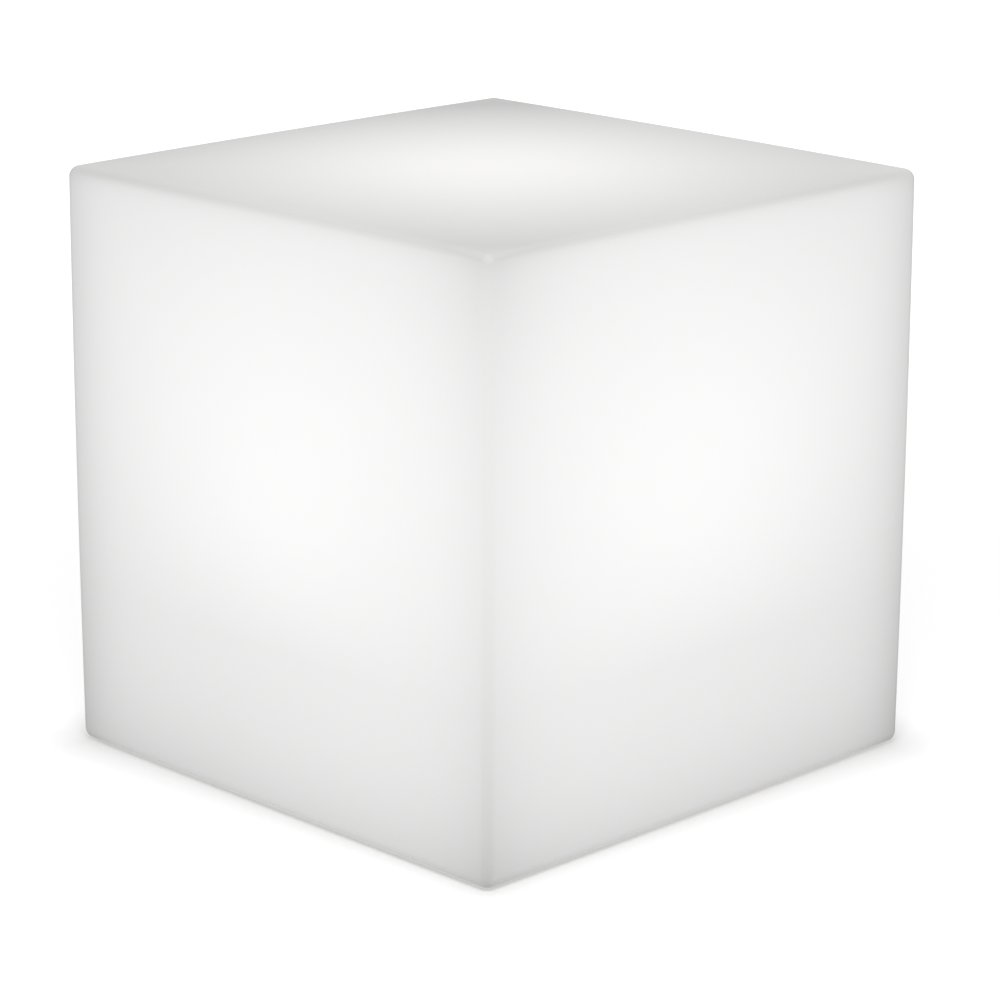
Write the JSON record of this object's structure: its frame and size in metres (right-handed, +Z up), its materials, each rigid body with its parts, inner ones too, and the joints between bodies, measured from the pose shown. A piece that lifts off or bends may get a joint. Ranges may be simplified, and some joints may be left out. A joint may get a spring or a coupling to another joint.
{
  "type": "led cube light",
  "caption": "White translucent garden cube light on rubber feet, lit by a battery light unit that screws into the underside.",
  "frame": {"origin": "on the ground, under the middle of the cube", "axes": "+Z up, +X to the right, +Y to the back; the button is at the front of the light unit and the charging socket at its back"},
  "size_m": [0.4, 0.4, 0.4015],
  "materials": {
    "shell_plastic": "milky white, moulded, fine satin texture, lit from inside",
    "collar_plastic": "white, satin",
    "gasket_rubber": "grey foam rubber, matte",
    "insert_brass": "turned",
    "screw_steel": "stainless, satin",
    "foot_rubber": "grey, matte",
    "seal_rubber": "black silicone, satin",
    "cap_plastic": "white, fine texture",
    "button_rubber": "grey silicone, satin",
    "boot_rubber": "translucent silicone",
    "switch_plastic": "black",
    "plunger_plastic": "ivory",
    "socket_plastic": "black",
    "pin_metal": "nickel plated",
    "cover_rubber": "grey, satin",
    "vent_plastic": "black",
    "pipe_acrylic": "clear, polished ends",
    "board_green": "green lacquer over copper tracks",
    "component_black": "moulded chips and cans",
    "standoff_brass": "turned hexagon bar",
    "tray_plastic": "black",
    "cell_sleeve": "blue shrink sleeve",
    "contact_nickel": "nickel strip",
    "strap_plastic": "black",
    "plate_aluminium": "rolled, satin",
    "lamp_board_white": "white solder mask",
    "lamp_phosphor": "yellow phosphor in a white case",
    "dome_plastic": "frosted, milky",
    "lead_jacket": "white cable jacket",
    "plug_plastic": "natural nylon"
  },
  "bodies": {
    "shell": {"cube_shell": "shell_plastic", "port_collar": "collar_plastic", "collar_gasket": "gasket_rubber", "threaded_inserts": "insert_brass", "collar_screws": "screw_steel", "foot_front_left": "foot_rubber", "foot_front_right": "foot_rubber", "foot_back_left": "foot_rubber", "foot_back_right": "foot_rubber"},
    "seal": {"unit_seal": "seal_rubber"},
    "light_unit": {"base_cap": "cap_plastic", "button_boot": "boot_rubber", "switch_body": "switch_plastic", "charge_socket": "socket_plastic", "socket_pin": "pin_metal", "cover_tether": "cover_rubber", "breather_vent": "vent_plastic", "vent_nut": "vent_plastic", "status_light_pipe": "pipe_acrylic", "control_board": "board_green", "board_components": "component_black", "board_standoffs": "standoff_brass", "battery_tray": "tray_plastic", "battery_cell_front": "cell_sleeve", "battery_cell_back": "cell_sleeve", "cell_contacts": "contact_nickel", "battery_strap": "strap_plastic", "tray_screws": "screw_steel", "lamp_plate": "plate_aluminium", "plate_screws": "screw_steel", "lamp_board": "lamp_board_white", "lamp_board_screws": "screw_steel", "lamps": "lamp_phosphor", "light_dome": "dome_plastic", "dome_gasket": "gasket_rubber", "dome_screws": "screw_steel", "lead_grommet": "seal_rubber", "lamp_lead": "lead_jacket", "lead_plugs": "plug_plastic"},
    "button": {"power_button": "button_rubber", "switch_plunger": "plunger_plastic"},
    "cover": {"charge_cover": "cover_rubber"}
  },
  "joints": [
    {"name": "unit_drop", "type": "slide", "parent": "shell", "child": "seal", "axis": [0, 0, -1], "range_m": [0, 0.016]},
    {"name": "unit_turn", "type": "hinge", "parent": "seal", "child": "light_unit", "pos_m": [0, 0, 0.01], "axis": [0, 0, -1], "range_deg": [0, 720]},
    {"name": "button_press", "type": "slide", "parent": "light_unit", "child": "button", "axis": [0, 0, 1], "range_m": [0, 0.001], "stiffness_N_per_m": 2000},
    {"name": "cover_flap", "type": "hinge", "parent": "light_unit", "child": "cover", "pos_m": [0, 0.042, 0.0052], "axis": [1, 0, 0], "range_deg": [0, 120]}
  ],
  "couplings": [
    {"joint": "unit_drop", "follows": "unit_turn", "m_per_rad": 0.0012732}
  ]
}
